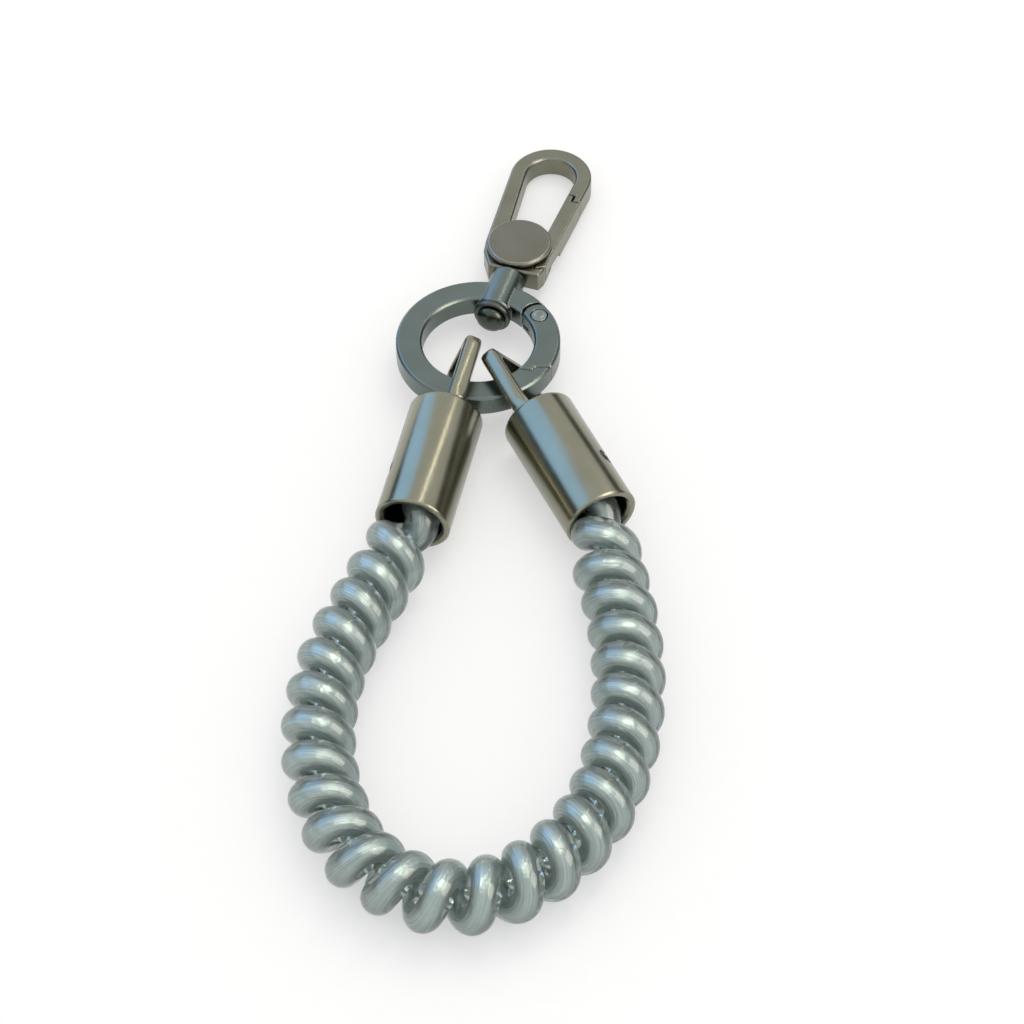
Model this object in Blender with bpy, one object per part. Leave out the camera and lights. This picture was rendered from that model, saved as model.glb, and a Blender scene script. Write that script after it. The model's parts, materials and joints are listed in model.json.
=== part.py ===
"""Coiled key lanyard, lying flat.

A curly cord is bent into a wrist loop. Each of its ends is crimped into a sleeve and held in a
turned ferrule by a set screw. The lugs of the two ferrules hang on a spring-gate ring, and a
snap hook turns on a riveted swivel in the boss of that ring.

Metres, +Z up. The origin is on the table, under the middle of the metal parts.
"""

import math

import bmesh
import bpy
import numpy as np
from mathutils import Matrix, Vector

MM = 0.001
DEG = math.pi / 180

# Clearances
GAP = 0.3 * MM              # between pieces that touch or run in each other
OVERRUN = 1.0 * MM          # how far a cutting tool runs past the metal
WELD = 0.4 * MM             # how far a boss or a lug sinks into the metal that carries it
TOUCH = 0.001 * MM          # points nearer than this are one point
SHARP_ANGLE = 35.0 * DEG    # steeper edges stay sharp in the smooth shading

# Spring-gate ring, a flat bar bent round
RING_OUTER_RADIUS = 17.5 * MM
RING_BAR_WIDTH = 5.5 * MM
RING_BAR_HEIGHT = 5.0 * MM
RING_EDGE_CHAMFER = 0.45 * MM
RING_STEPS = 72
RING_CENTRE = (-5.83 * MM, -4.54 * MM)
RING_MID_RADIUS = RING_OUTER_RADIUS - RING_BAR_WIDTH / 2
RING_INNER_RADIUS = RING_OUTER_RADIUS - RING_BAR_WIDTH

# Gate of the ring, between its pin and its latch, both counted from +X
RING_PIN_ANGLE = 28.0 * DEG
RING_LATCH_ANGLE = -38.0 * DEG
RING_LAP = 0.9 * MM         # how far the gate reaches in behind the body's lip
RING_BAR_END_ANGLE = -8.0 * DEG     # the plain bar, before the latch is cut
RING_KNUCKLE_RADIUS = 3.6 * MM
RING_CHEEK = 1.0 * MM
RING_TONGUE_END_RADIUS = 2.5 * MM
RING_PIN_HEAD_RADIUS = 1.65 * MM
RING_PIN_RADIUS = 0.8 * MM
RING_PIN_MARK_RADIUS = 1.0 * MM
RING_PIN_MARK_WIDTH = 0.5 * MM
RING_PIN_MARK_DEPTH = 0.15 * MM

# Torsion springs of both gates
SPRING_WIRE = 0.4 * MM
SPRING_PITCH = 0.85 * MM
SPRING_CURLS = 1.5
SPRING_POINTS = 10

# Swivel boss of the ring, and its rivet
BOSS_RADIUS = 3.8 * MM
BOSS_STAND_IN = 1.3 * MM    # how far it stands in from the inner side of the bar
BOSS_INNER_END = RING_INNER_RADIUS - BOSS_STAND_IN
BOSS_CHAMFER = 0.4 * MM
BOSS_ANGLE = 72.4 * DEG
RIVET_RADIUS = 1.6 * MM
RIVET_HEAD_RADIUS = 3.1 * MM
RIVET_HEAD_HEIGHT = 1.8 * MM
RIVET_GRIP = 3.6 * MM
WASHER_RADIUS = 4.05 * MM
WASHER_THICKNESS = 1.3 * MM
WASHER_CHAMFER = 0.35 * MM

# Snap hook, from the centre of its disc
HOOK_REACH = 29.0 * MM      # centre of the ring to the centre of the disc
HOOK_DEPTH = 5.0 * MM
HOOK_BAR = 3.4 * MM
HOOK_BEND_RADIUS = 9.0 * MM
HOOK_BEND_CENTRE = 23.2 * MM
HOOK_WAIST = 7.6 * MM       # half the width across the disc's centre
HOOK_BASE = 7.1 * MM        # disc centre down to the foot
HOOK_FOOT = 4.8 * MM        # half the width of the foot
HOOK_LIP = 6.9 * MM         # disc axis to the tip of the lip beside the gate's heel
HOOK_THROAT = 3.0 * MM
HOOK_EDGE = 0.35 * MM
HOOK_NOSE_END = 17.2 * MM
HOOK_LAP = 1.9 * MM
HOOK_FLOOR = 1.0 * MM
HOOK_FLANK_SHARES = (0.93, 0.45)    # of the waist and the base, where the left flank turns in
HUB_START = 150.0 * DEG     # hub and heel of the gate, as angles about its pin
HUB_END = 270.0 * DEG
HEEL_START = -80.0 * DEG
HEEL_END = -45.0 * DEG
POCKET_START = 20.0 * DEG   # and of the pocket that takes them
POCKET_HEEL_END = -82.0 * DEG
POCKET_HUB_START = 265.0 * DEG
POCKET_END = 160.0 * DEG
BEND_STEPS = 24

# Disc cap over the hook's pivot and spring
DISC_RADIUS = 7.0 * MM
DISC_THICKNESS = 1.4 * MM
DISC_EDGE = 0.35 * MM
DISC_STUD_RADIUS = 1.8 * MM
DISC_STUD_LENGTH = 2.4 * MM
DISC_STUD_PLACE = (-2.6 * MM, -0.4 * MM)

# Gate of the hook
HOOK_PIN_PLACE = (4.6 * MM, -1.2 * MM)
HOOK_PIN_RADIUS = 0.9 * MM
HOOK_HUB_RADIUS = 2.7 * MM
HOOK_HEEL_RADIUS = 3.9 * MM
HOOK_HEEL_LEFT = 5.1 * MM
HOOK_STEP = 4.6 * MM        # height where the gate gets its full depth
SPRING_RECESS = 2.0 * MM    # depth of the pockets that the springs lie in

# Ferrules
FERRULE_RADIUS = 7.9 * MM
FERRULE_BORE_RADIUS = 6.1 * MM
FERRULE_LENGTH = 29.6 * MM
FERRULE_TOP = 4.0 * MM
FERRULE_EDGE = 1.0 * MM
FERRULE_MOUTH_CHAMFER = 0.7 * MM
FERRULE_STEPS = 36
LUG_THICKNESS = 3.6 * MM
LUG_WIDTH = 15.6 * MM
LUG_HEIGHT = 17.0 * MM
LUG_CORNER = 2.6 * MM
LUG_EDGE = 1.0 * MM
SLOT_WIDTH = 10.6 * MM
SLOT_START = 0.6 * MM
SLOT_END = 14.6 * MM
SLOT_CORNER = 2.0 * MM

# Where each ferrule hangs on the ring: angle on the ring, lean from +Y, roll about its own
# axis, and how far the ring lies above the ferrule's top
LEFT_ANGLE = -110.7 * DEG
LEFT_LEAN = 13.4 * DEG
LEFT_ROLL = -18.0 * DEG
LEFT_SLIDE = 5.2 * MM
RIGHT_ANGLE = -54.3 * DEG
RIGHT_LEAN = -26.4 * DEG
RIGHT_ROLL = 35.0 * DEG
RIGHT_SLIDE = 8.7 * MM

# Set screws, counted from the mouth, and the turn of each round its ferrule
SCREW_RADIUS = 1.5 * MM
SCREW_HEIGHT = 11.0 * MM
SCREW_RECESS = 0.25 * MM
SCREW_KEY_RADIUS = 0.85 * MM
SCREW_KEY_DEPTH = 0.7 * MM
LEFT_SCREW_TURN = 195.0 * DEG
RIGHT_SCREW_TURN = -35.0 * DEG

# Curly cord
CORD_DIAMETER = 5.9 * MM
CURL_RADIUS = 4.25 * MM     # centreline of the cord round the axis of the coil
CURL_PITCH = 7.5 * MM       # advance per curl where the coil is straight
CURL_SPREAD = 0.5           # share of the squeeze inside a bend that the curls give way to
CURL_TIGHTEST_BEND = 4.8 * MM
CURL_POINTS = 9
CURL_START_TURN = 2.0 * DEG
CORD_RAMP = 7.8 * MM        # from the ferrule's mouth to the first full curl
SLEEVE_LENGTH = 16.0 * MM
SLEEVE_CHAMFER = 0.4 * MM

# Axis of the coil between the two mouths, seen from above
LOOP_ROUTE = [
    (-22.9 * MM, -60.0 * MM),
    (-27.5 * MM, -70.1 * MM),
    (-32.8 * MM, -81.7 * MM),
    (-35.9 * MM, -93.2 * MM),
    (-36.5 * MM, -106.1 * MM),
    (-34.1 * MM, -118.7 * MM),
    (-27.3 * MM, -131.3 * MM),
    (-14.7 * MM, -139.1 * MM),
    (-2.1 * MM, -138.5 * MM),
    (8.8 * MM, -131.8 * MM),
    (17.0 * MM, -121.8 * MM),
    (22.2 * MM, -108.4 * MM),
    (24.3 * MM, -94.3 * MM),
    (24.2 * MM, -81.9 * MM),
    (22.6 * MM, -70.3 * MM),
    (20.5 * MM, -60.2 * MM),
]
ROUTE_SAMPLES = 60          # between two neighbouring points of the route

# Colours, linear
GUNMETAL = (0.20, 0.20, 0.165)
GUNMETAL_LIGHT = (0.27, 0.27, 0.23)
GUNMETAL_DARK = (0.13, 0.13, 0.11)
SPRING_STEEL = (0.35, 0.35, 0.36)
SILVER_CORD = (0.42, 0.45, 0.42)


# Scene and object helpers

def clear_scene():
    """Remove every object, so that the model starts in an empty scene."""
    for thing in list(bpy.data.objects):
        bpy.data.objects.remove(thing, do_unlink=True)


def make_material(name, colour, roughness, metallic):
    """A Principled material in one colour."""
    material = bpy.data.materials.new(name)
    material.use_nodes = True
    shader = material.node_tree.nodes["Principled BSDF"]
    shader.inputs["Base Color"].default_value = (*colour, 1.0)
    shader.inputs["Roughness"].default_value = roughness
    shader.inputs["Metallic"].default_value = metallic
    material.diffuse_color = (*colour, 1.0)
    return material


def add_empty(name, matrix, parent=None):
    """An empty that carries pieces. Its matrix is given under its parent."""
    empty = bpy.data.objects.new(name, None)
    bpy.context.scene.collection.objects.link(empty)
    empty.parent = parent
    empty.matrix_local = matrix
    return empty


def mesh_from(name, bm):
    """Turn a bmesh into a mesh with outward faces and smooth round sides."""
    bmesh.ops.remove_doubles(bm, verts=bm.verts, dist=TOUCH)
    bmesh.ops.recalc_face_normals(bm, faces=bm.faces)
    mesh = bpy.data.meshes.new(name)
    bm.to_mesh(mesh)
    bm.free()
    mesh.shade_smooth()
    mesh.set_sharp_from_angle(angle=SHARP_ANGLE)
    return mesh


def add_piece(name, bm, material, parent, place=(0.0, 0.0, 0.0)):
    """A named piece under a parent, its mesh counted from its own origin."""
    piece = bpy.data.objects.new(name, mesh_from(name, bm))
    piece.data.materials.append(material)
    bpy.context.scene.collection.objects.link(piece)
    piece.parent = parent
    piece.location = place
    return piece


def combine(piece, bm, operation, label):
    """Join a shape to a piece or cut it out. The shape shares the piece's origin."""
    tool = bpy.data.objects.new(f"{piece.name}_{label}", mesh_from(label, bm))
    bpy.context.scene.collection.objects.link(tool)
    tool.parent = piece
    tool.hide_render = True
    tool.display_type = "WIRE"
    modifier = piece.modifiers.new(label, "BOOLEAN")
    modifier.operation = operation
    modifier.solver = "EXACT"
    modifier.object = tool


# Shape helpers

def arc_points(centre, radius, start, end, steps):
    """Points along an arc, both ends included."""
    angles = np.linspace(start, end, steps + 1)
    return [(centre[0] + radius * math.cos(a), centre[1] + radius * math.sin(a)) for a in angles]


def rounded_box(left, right, bottom, top, corner, steps=4):
    """Outline of a rectangle with round corners, counterclockwise."""
    quarter = math.pi / 2
    centres = [(right - corner, bottom + corner), (right - corner, top - corner),
               (left + corner, top - corner), (left + corner, bottom + corner)]
    outline = []
    for index, centre in enumerate(centres):
        start = (index - 1) * quarter
        outline += arc_points(centre, corner, start, start + quarter, steps)
    return outline


def prism(outline, low, high, edge=0.0, edge_steps=1):
    """Extrude an outline in XY from low to high, and break its two rims."""
    bm = bmesh.new()
    rim = [bm.verts.new((x, y, low)) for x, y in outline]
    base = bm.faces.new(rim)
    lifted = bmesh.ops.extrude_face_region(bm, geom=[base])
    top = [item for item in lifted["geom"] if isinstance(item, bmesh.types.BMVert)]
    bmesh.ops.translate(bm, verts=top, vec=(0.0, 0.0, high - low))
    bmesh.ops.recalc_face_normals(bm, faces=bm.faces)
    if edge > 0:
        middle = (low + high) / 2
        rims = [e for e in bm.edges
                if (e.verts[0].co.z - middle) * (e.verts[1].co.z - middle) > 0]
        bmesh.ops.bevel(bm, geom=rims, offset=edge, segments=edge_steps, profile=0.5,
                        affect="EDGES", clamp_overlap=True)
    return bm


def turned(profile, steps):
    """Spin a closed profile of (radius, height) points all the way round Z."""
    bm = bmesh.new()
    count = len(profile)
    rings = []
    for radius, height in profile:
        if radius < TOUCH:
            rings.append([bm.verts.new((0.0, 0.0, height))] * steps)
        else:
            rings.append([bm.verts.new((radius * math.cos(2 * math.pi * i / steps),
                                        radius * math.sin(2 * math.pi * i / steps), height))
                          for i in range(steps)])
    for level in range(count):
        here, above = rings[level], rings[(level + 1) % count]
        for i in range(steps):
            j = (i + 1) % steps
            corners = []
            for vert in (here[i], here[j], above[j], above[i]):
                if vert not in corners:
                    corners.append(vert)
            if len(corners) > 2:
                bm.faces.new(corners)
    return bm


def rod(radius, low, high, steps=24, edge=0.0):
    """A cylinder on Z, its rims broken by a small chamfer."""
    side = [(radius, low), (radius, high)]
    if edge > 0:
        side = [(radius - edge, low), (radius, low + edge), (radius, high - edge),
                (radius - edge, high)]
    return turned_solid([(0.0, low), *side, (0.0, high)], steps)


def turned_solid(profile, steps):
    """Spin a profile whose first and last points lie on Z."""
    bm = turned(profile, steps)
    loose = [edge for edge in bm.edges if not edge.link_faces]
    bmesh.ops.delete(bm, geom=loose, context="EDGES")
    return bm


def moved(bm, matrix):
    """Move a shape, and return it."""
    bmesh.ops.transform(bm, matrix=matrix, verts=bm.verts)
    return bm


def bar_section():
    """Cross-section of the ring's bar as (radius, height), its four edges broken."""
    inner = RING_INNER_RADIUS
    outer = RING_OUTER_RADIUS
    half = RING_BAR_HEIGHT / 2
    cut = RING_EDGE_CHAMFER
    return [(inner, -half + cut), (inner + cut, -half), (outer - cut, -half), (outer, -half + cut),
            (outer, half - cut), (outer - cut, half), (inner + cut, half), (inner, half - cut)]


def ring_bar(start, end):
    """The ring's bar between two angles, closed at both ends."""
    steps = max(2, round(RING_STEPS * (end - start) / (2 * math.pi)))
    bm = bmesh.new()
    stations = []
    for angle in np.linspace(start, end, steps + 1):
        stations.append([bm.verts.new((radius * math.cos(angle), radius * math.sin(angle), height))
                         for radius, height in bar_section()])
    for here, ahead in zip(stations, stations[1:]):
        for i in range(len(here)):
            j = (i + 1) % len(here)
            bm.faces.new((here[i], here[j], ahead[j], ahead[i]))
    bm.faces.new(stations[0])
    bm.faces.new(stations[-1])
    return bm


def on_ring(angle, radius=RING_MID_RADIUS):
    """A point of the flat ring, counted from its centre."""
    return Vector((radius * math.cos(angle), radius * math.sin(angle), 0.0))


def spring_room(pin_radius):
    """Radius of the pocket that a spring lies in, round its pin."""
    return pin_radius + GAP + SPRING_WIRE + GAP


def spring_bmesh(pin_radius, low):
    """A short torsion spring round a pin, as one tube of wire with flat ends."""
    mean_radius = pin_radius + GAP + SPRING_WIRE / 2
    count = int(SPRING_CURLS * SPRING_POINTS)
    path = []
    for i in range(count + 1):
        angle = 2 * math.pi * i / SPRING_POINTS
        height = low + SPRING_WIRE / 2 + SPRING_PITCH * i / SPRING_POINTS
        path.append(Vector((mean_radius * math.cos(angle), mean_radius * math.sin(angle), height)))
    return tube_bmesh(path, SPRING_WIRE / 2, 6)


def tube_bmesh(path, radius, sides):
    """A tube of straight runs along a path, capped at both ends."""
    bm = bmesh.new()
    stations = []
    for i, point in enumerate(path):
        before = path[max(i - 1, 0)]
        after = path[min(i + 1, len(path) - 1)]
        along = (after - before).normalized()
        across = along.cross(Vector((0.0, 0.0, 1.0))).normalized()
        other = across.cross(along)
        turns = [2 * math.pi * k / sides for k in range(sides)]
        stations.append([bm.verts.new(point + radius * (math.cos(a) * across + math.sin(a) * other))
                         for a in turns])
    for here, ahead in zip(stations, stations[1:]):
        for k in range(sides):
            m = (k + 1) % sides
            bm.faces.new((here[k], here[m], ahead[m], ahead[k]))
    bm.faces.new(stations[0])
    bm.faces.new(stations[-1])
    return bm


# Layout: frames of the ring, the hook and the ferrules

def lean_direction(lean):
    """Level direction at an angle from +Y towards +X."""
    return Vector((math.sin(lean), math.cos(lean), 0.0))


def ferrule_frame(angle, lean, roll, slide):
    """Frame of a ferrule: origin in its mouth, Z up its axis, X square to its lug."""
    along = lean_direction(lean)
    side = Vector((math.cos(lean), -math.sin(lean), 0.0))
    across = math.cos(roll) * side + math.sin(roll) * Vector((0.0, 0.0, 1.0))
    width = along.cross(across)
    ring_point = Vector((*RING_CENTRE, 0.0)) + on_ring(angle)
    mouth = ring_point - (slide + FERRULE_LENGTH) * along
    mouth.z = FERRULE_RADIUS
    frame = Matrix((across, width, along)).transposed().to_4x4()
    return Matrix.Translation(mouth) @ frame


def swing_frame():
    """Frame on the line through both lugs, tipped until the hook's bend meets the table."""
    centre = Vector((*RING_CENTRE, 0.0))
    left = centre + on_ring(LEFT_ANGLE)
    right = centre + on_ring(RIGHT_ANGLE)
    middle = (left + right) / 2
    line = (right - left).normalized()
    ahead = Vector((0.0, 0.0, 1.0)).cross(line)
    boss = Vector((math.cos(BOSS_ANGLE), math.sin(BOSS_ANGLE), 0.0))
    bend = centre + (HOOK_REACH + HOOK_BEND_CENTRE) * boss
    reach = (bend - middle).dot(ahead) + HOOK_BEND_RADIUS - HOOK_EDGE
    height = FERRULE_RADIUS
    half = HOOK_DEPTH / 2
    tip = math.asin(height / math.hypot(reach, half)) - math.atan2(half, reach)
    origin = middle + Vector((0.0, 0.0, height))
    return Matrix.Translation(origin) @ Matrix.Rotation(-tip, 4, line), middle


# Ferrules with their sleeves and screws

def ferrule_shell():
    """Turned shell: a blind bore from the mouth, with broken edges."""
    outer, bore = FERRULE_RADIUS, FERRULE_BORE_RADIUS
    top = FERRULE_LENGTH
    mouth = FERRULE_MOUTH_CHAMFER
    roof = top - FERRULE_TOP
    edge = [(outer - FERRULE_EDGE + FERRULE_EDGE * math.sin(a), top - FERRULE_EDGE
             + FERRULE_EDGE * math.cos(a)) for a in np.linspace(math.pi / 2, 0.0, 4)]
    profile = [(0.0, roof), (bore, roof), (bore, mouth), (bore + mouth, 0.0),
               (outer - mouth / 2, 0.0), (outer, mouth / 2)]
    profile += edge + [(0.0, top)]
    return turned_solid(profile, FERRULE_STEPS)


def lug_plate():
    """Plate of the lug, standing on the ferrule's top, thickness along X."""
    half = LUG_WIDTH / 2
    foot = FERRULE_LENGTH - WELD
    crown = rounded_box(-half, half, foot, FERRULE_LENGTH + LUG_HEIGHT, LUG_CORNER)
    outline = [point for point in crown if point[1] > foot + LUG_CORNER / 2]
    outline = [(half, foot)] + outline + [(-half, foot)]
    plate = prism(outline, -LUG_THICKNESS / 2, LUG_THICKNESS / 2, LUG_EDGE, 2)
    return moved(plate, plate_turn())


def plate_turn():
    """Stand an XY outline up: its X becomes the lug's width, its Y the ferrule's axis."""
    return Matrix(((0, 0, 1, 0), (1, 0, 0, 0), (0, 1, 0, 0), (0, 0, 0, 1)))


def build_ferrule(side, frame, screw_turn, root, metal, dark):
    """A ferrule, the sleeve on the cord's end inside it, and its set screw."""
    empty = add_empty(f"ferrule_{side}_frame", frame, root)
    ferrule = add_piece(f"ferrule_{side}", ferrule_shell(), metal, empty)
    combine(ferrule, lug_plate(), "UNION", "lug")
    half = SLOT_WIDTH / 2
    slot = rounded_box(-half, half, FERRULE_LENGTH + SLOT_START, FERRULE_LENGTH + SLOT_END,
                       SLOT_CORNER)
    reach = LUG_THICKNESS / 2 + OVERRUN
    combine(ferrule, moved(prism(slot, -reach, reach), plate_turn()), "DIFFERENCE", "slot")

    lay_down = Matrix.Rotation(math.pi / 2, 4, "Y")
    screw_place = (Matrix.Rotation(screw_turn, 4, "Z")
                   @ Matrix.Translation((0.0, 0.0, SCREW_HEIGHT)) @ lay_down)
    hole = rod(SCREW_RADIUS + GAP, FERRULE_BORE_RADIUS - OVERRUN, FERRULE_RADIUS + OVERRUN)
    combine(ferrule, moved(hole, screw_place), "DIFFERENCE", "screw_hole")

    outer_end = FERRULE_RADIUS - SCREW_RECESS
    screw = add_piece(f"set_screw_{side}",
                      moved(rod(SCREW_RADIUS, FERRULE_BORE_RADIUS, outer_end), screw_place),
                      dark, empty)
    key = moved(rod(SCREW_KEY_RADIUS, outer_end - SCREW_KEY_DEPTH, outer_end + OVERRUN, 6),
                screw_place)
    combine(screw, key, "DIFFERENCE", "key")

    sleeve_outer = FERRULE_BORE_RADIUS - GAP
    sleeve_bore = CORD_DIAMETER / 2 + GAP
    high = FERRULE_LENGTH - FERRULE_TOP - GAP
    low = high - SLEEVE_LENGTH
    edge = SLEEVE_CHAMFER
    profile = [(sleeve_bore, low + edge), (sleeve_bore + edge, low), (sleeve_outer - edge, low),
               (sleeve_outer, low + edge), (sleeve_outer, high - edge), (sleeve_outer - edge, high),
               (sleeve_bore, high)]
    add_piece(f"crimp_sleeve_{side}", turned(profile, FERRULE_STEPS), dark, empty)


# Curly cord

def smooth_route(points):
    """Samples of a smooth curve through the points (centripetal Catmull-Rom)."""
    ends = [2 * points[0] - points[1]] + points + [2 * points[-1] - points[-2]]
    samples = []
    for p0, p1, p2, p3 in zip(ends, ends[1:], ends[2:], ends[3:]):
        knots = [0.0]
        for a, b in ((p0, p1), (p1, p2), (p2, p3)):
            knots.append(knots[-1] + math.sqrt(np.linalg.norm(b - a)))
        t0, t1, t2, t3 = knots
        for t in np.linspace(t1, t2, ROUTE_SAMPLES, endpoint=False):
            a1 = (t1 - t) / (t1 - t0) * p0 + (t - t0) / (t1 - t0) * p1
            a2 = (t2 - t) / (t2 - t1) * p1 + (t - t1) / (t2 - t1) * p2
            a3 = (t3 - t) / (t3 - t2) * p2 + (t - t2) / (t3 - t2) * p3
            b1 = (t2 - t) / (t2 - t0) * a1 + (t - t0) / (t2 - t0) * a2
            b2 = (t3 - t) / (t3 - t1) * a2 + (t - t1) / (t3 - t1) * a3
            samples.append((t2 - t) / (t2 - t1) * b1 + (t - t1) / (t2 - t1) * b2)
    samples.append(points[-1])
    return np.array(samples)


def curl_pitch(radius, bend):
    """Advance per curl: the cord's own tightest bend while a curl opens, then side by side."""
    limit = CURL_TIGHTEST_BEND
    if radius < CURL_RADIUS:
        squared = limit * radius - radius * radius if radius > limit / 2 else limit * limit / 4
        return max(CURL_PITCH, 2 * math.pi * math.sqrt(squared))
    return CURL_PITCH / (1 - CURL_SPREAD * CURL_RADIUS * bend)


def cord_path(left, right):
    """Centreline of the cord, from the bottom of the left bore to that of the right."""
    height = CURL_RADIUS + CORD_DIAMETER / 2
    high = FERRULE_LENGTH - FERRULE_TOP - GAP
    low = high - SLEEVE_LENGTH
    run_in = [left @ Vector((0.0, 0.0, low)), left @ Vector((0.0, 0.0, low / 2)), left.translation]
    run_out = [right @ Vector((0.0, 0.0, part)) for part in (0.0, low / 2, low)]
    middle = [Vector((x, y, height)) for x, y in LOOP_ROUTE]
    axis = smooth_route([np.array(point) for point in run_in + middle + run_out])
    steps = np.linalg.norm(np.diff(axis, axis=0), axis=1)
    travel = np.concatenate([[0.0], np.cumsum(steps)])
    total = travel[-1]
    tangents = np.gradient(axis, travel, axis=0)
    tangents /= np.linalg.norm(tangents, axis=1)[:, None]
    bends = np.linalg.norm(np.gradient(tangents, travel, axis=0), axis=1)
    width = max(3, ROUTE_SAMPLES)
    bends = np.convolve(np.pad(bends, width // 2, mode="edge"), np.ones(width) / width, "same")
    bends = bends[width // 2:width // 2 + len(travel)]

    ramp = low + CORD_RAMP
    turn = CURL_START_TURN
    path = [np.array(left @ Vector((0.0, 0.0, high))), axis[0]]
    place = 0.0
    step_turn = 2 * math.pi / CURL_POINTS
    while True:
        edge = min(place, total - place)
        share = min(max(edge / ramp, 0.0), 1.0)
        radius = CURL_RADIUS * share * share * (3 - 2 * share)
        bend = np.interp(place, travel, bends)
        if 0.0 < place:
            centre = np.array([np.interp(place, travel, axis[:, k]) for k in range(3)])
            ahead = np.array([np.interp(place, travel, tangents[:, k]) for k in range(3)])
            right_hand = np.cross(ahead, (0.0, 0.0, 1.0))
            right_hand /= np.linalg.norm(right_hand)
            upward = np.cross(right_hand, ahead)
            path.append(centre + radius * (math.cos(turn) * right_hand + math.sin(turn) * upward))
        advance = curl_pitch(radius, bend) / CURL_POINTS
        if place + 1.5 * advance > total:
            break
        place += advance
        turn += step_turn
    path += [axis[-1], np.array(right @ Vector((0.0, 0.0, high)))]
    return [Vector(point) for point in path]


def least_gap(path):
    """Least distance of the cord's surface to itself, measured on points of its centreline."""
    fine = []
    for a, b in zip(path, path[1:]):
        fine += [a.lerp(b, share) for share in (0.0, 0.25, 0.5, 0.75)]
    points = np.array([tuple(point) for point in fine])
    travel = np.concatenate([[0.0], np.cumsum(np.linalg.norm(np.diff(points, axis=0), axis=1))])
    least = math.inf
    for i in range(len(points)):
        far = travel > travel[i] + math.pi * CURL_RADIUS
        if far.any():
            least = min(least, np.linalg.norm(points[far] - points[i], axis=1).min())
    return least - CORD_DIAMETER


def build_cord(left, right, root, material):
    """The curly cord, as one unbroken tube."""
    path = cord_path(left, right)
    curve = bpy.data.curves.new("coil_cord", "CURVE")
    curve.dimensions = "3D"
    curve.bevel_depth = CORD_DIAMETER / 2
    curve.bevel_resolution = 1
    curve.use_fill_caps = True
    spline = curve.splines.new("POLY")
    spline.points.add(len(path) - 1)
    for point, place in zip(spline.points, path):
        point.co = (*place, 1.0)
    curve.materials.append(material)
    cord = bpy.data.objects.new("coil_cord", curve)
    bpy.context.scene.collection.objects.link(cord)
    cord.parent = root
    length = sum((b - a).length for a, b in zip(path, path[1:]))
    gap = least_gap(path)
    print(f"cord: {length:.3f} m long, {len(path)} points, least gap to itself {gap / MM:.2f} mm")


# Ring with its gate

def build_ring(swing, middle, metal, light, steel):
    """Ring body with its swivel boss, and the gate on its pin with its spring."""
    centre = Vector((*RING_CENTRE, 0.0)) - middle
    half = RING_BAR_HEIGHT / 2
    pin = on_ring(RING_PIN_ANGLE)
    at_pin = Matrix.Translation(pin)
    tongue_half = half - RING_CHEEK - GAP

    body = add_piece("ring_body", ring_bar(RING_PIN_ANGLE, RING_BAR_END_ANGLE + 2 * math.pi),
                     metal, swing, centre)
    shoulder = rod(RING_KNUCKLE_RADIUS + GAP, -half - OVERRUN, half + OVERRUN, 48)
    combine(body, moved(shoulder, at_pin), "DIFFERENCE", "shoulder")
    combine(body, moved(prism(tongue_outline(), -tongue_half, tongue_half), at_pin),
            "UNION", "tongue")
    recess = rod(spring_room(RING_PIN_RADIUS), tongue_half - SPRING_RECESS, tongue_half + OVERRUN)
    combine(body, moved(recess, at_pin), "DIFFERENCE", "spring_recess")
    combine(body, moved(rod(RING_PIN_RADIUS + GAP, -half, half), at_pin), "DIFFERENCE", "pin_bore")
    latch = latch_line(OVERRUN, GAP)
    latch += [tuple(on_ring(RING_BAR_END_ANGLE + RING_PIN_ANGLE / 2, radius))[:2]
              for radius in (RING_INNER_RADIUS - OVERRUN, RING_OUTER_RADIUS + OVERRUN)]
    combine(body, prism(latch, -half - OVERRUN, half + OVERRUN), "DIFFERENCE", "latch")

    lay_back = Matrix.Rotation(-math.pi / 2, 4, "X")
    to_boss = Matrix.Rotation(BOSS_ANGLE - math.pi / 2, 4, "Z") @ lay_back
    boss_end = HOOK_REACH - HOOK_BASE - GAP
    boss = rod(BOSS_RADIUS, BOSS_INNER_END, boss_end, 36, BOSS_CHAMFER)
    combine(body, moved(boss, to_boss), "UNION", "boss")
    bore = rod(RIVET_RADIUS + GAP, BOSS_INNER_END - OVERRUN, boss_end + OVERRUN)
    combine(body, moved(bore, to_boss), "DIFFERENCE", "boss_bore")

    gate = add_piece("ring_gate", prism(ring_gate_outline(), -half, half, RING_EDGE_CHAMFER),
                     light, swing, centre + pin)
    fork = prism(fork_outline(), -tongue_half - GAP, tongue_half + GAP)
    combine(gate, fork, "DIFFERENCE", "fork")
    combine(gate, rod(RING_PIN_HEAD_RADIUS + GAP, -half - OVERRUN, half + OVERRUN),
            "DIFFERENCE", "pin_bore")
    head_low = tongue_half + GAP
    mark = RING_PIN_MARK_WIDTH / 2
    profile = [(0.0, -half), (RING_PIN_HEAD_RADIUS, -half), (RING_PIN_HEAD_RADIUS, -head_low),
               (RING_PIN_RADIUS, -head_low), (RING_PIN_RADIUS, head_low),
               (RING_PIN_HEAD_RADIUS, head_low), (RING_PIN_HEAD_RADIUS, half),
               (RING_PIN_MARK_RADIUS + mark, half),
               (RING_PIN_MARK_RADIUS, half - RING_PIN_MARK_DEPTH),
               (RING_PIN_MARK_RADIUS - mark, half), (0.0, half)]
    add_piece("ring_gate_pin", turned_solid(profile, 24), steel, swing, centre + pin)
    spring = spring_bmesh(RING_PIN_RADIUS, tongue_half - SPRING_RECESS + GAP / 2)
    add_piece("ring_gate_spring", spring, steel, swing, centre + pin)
    return centre


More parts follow.
